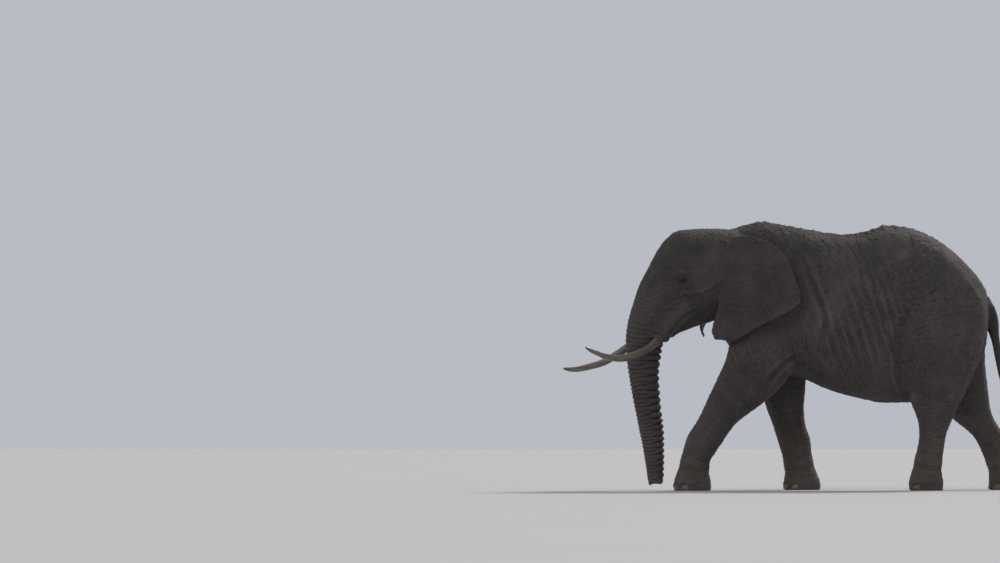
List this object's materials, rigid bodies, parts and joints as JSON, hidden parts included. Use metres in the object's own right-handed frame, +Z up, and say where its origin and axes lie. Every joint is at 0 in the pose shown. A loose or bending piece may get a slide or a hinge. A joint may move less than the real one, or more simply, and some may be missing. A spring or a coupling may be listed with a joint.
{
  "type": "elephant",
  "caption": "Life-size still model of a large African savanna elephant walking with its trunk hanging and its ears partly spread, standing on four soles.",
  "frame": {"origin": "the middle of the bounding box at floor level, under the body", "axes": "+Z up; +Y to the animal's rear, so the head faces -Y; +X to the animal's left"},
  "size_m": [1.9497, 5.4578, 3.1577],
  "materials": {
    "hide": "dry, finely cracked and wrinkled thick hide, dusted in its folds",
    "hair": "stiff dark wire-like hair",
    "ivory": "worn, satin, stained darker near the lip",
    "eye": "wet and glossy",
    "nail": "dull worn horn with fine growth lines"
  },
  "bodies": {
    "root": {"trunk_lower": "hide", "trunk_middle": "hide", "trunk_upper": "hide", "left_fore_foot": "hide", "right_fore_foot": "hide", "left_hind_foot": "hide", "right_hind_foot": "hide", "left_foreleg": "hide", "right_foreleg": "hide", "left_hindleg": "hide", "right_hindleg": "hide", "head": "hide", "neck": "hide", "torso": "hide", "lower_jaw": "hide", "tail": "hide", "tail_tuft": "hair", "left_ear": "hide", "right_ear": "hide", "left_tusk": "ivory", "right_tusk": "ivory", "left_eye": "eye", "right_eye": "eye"}
  },
  "joints": []
}
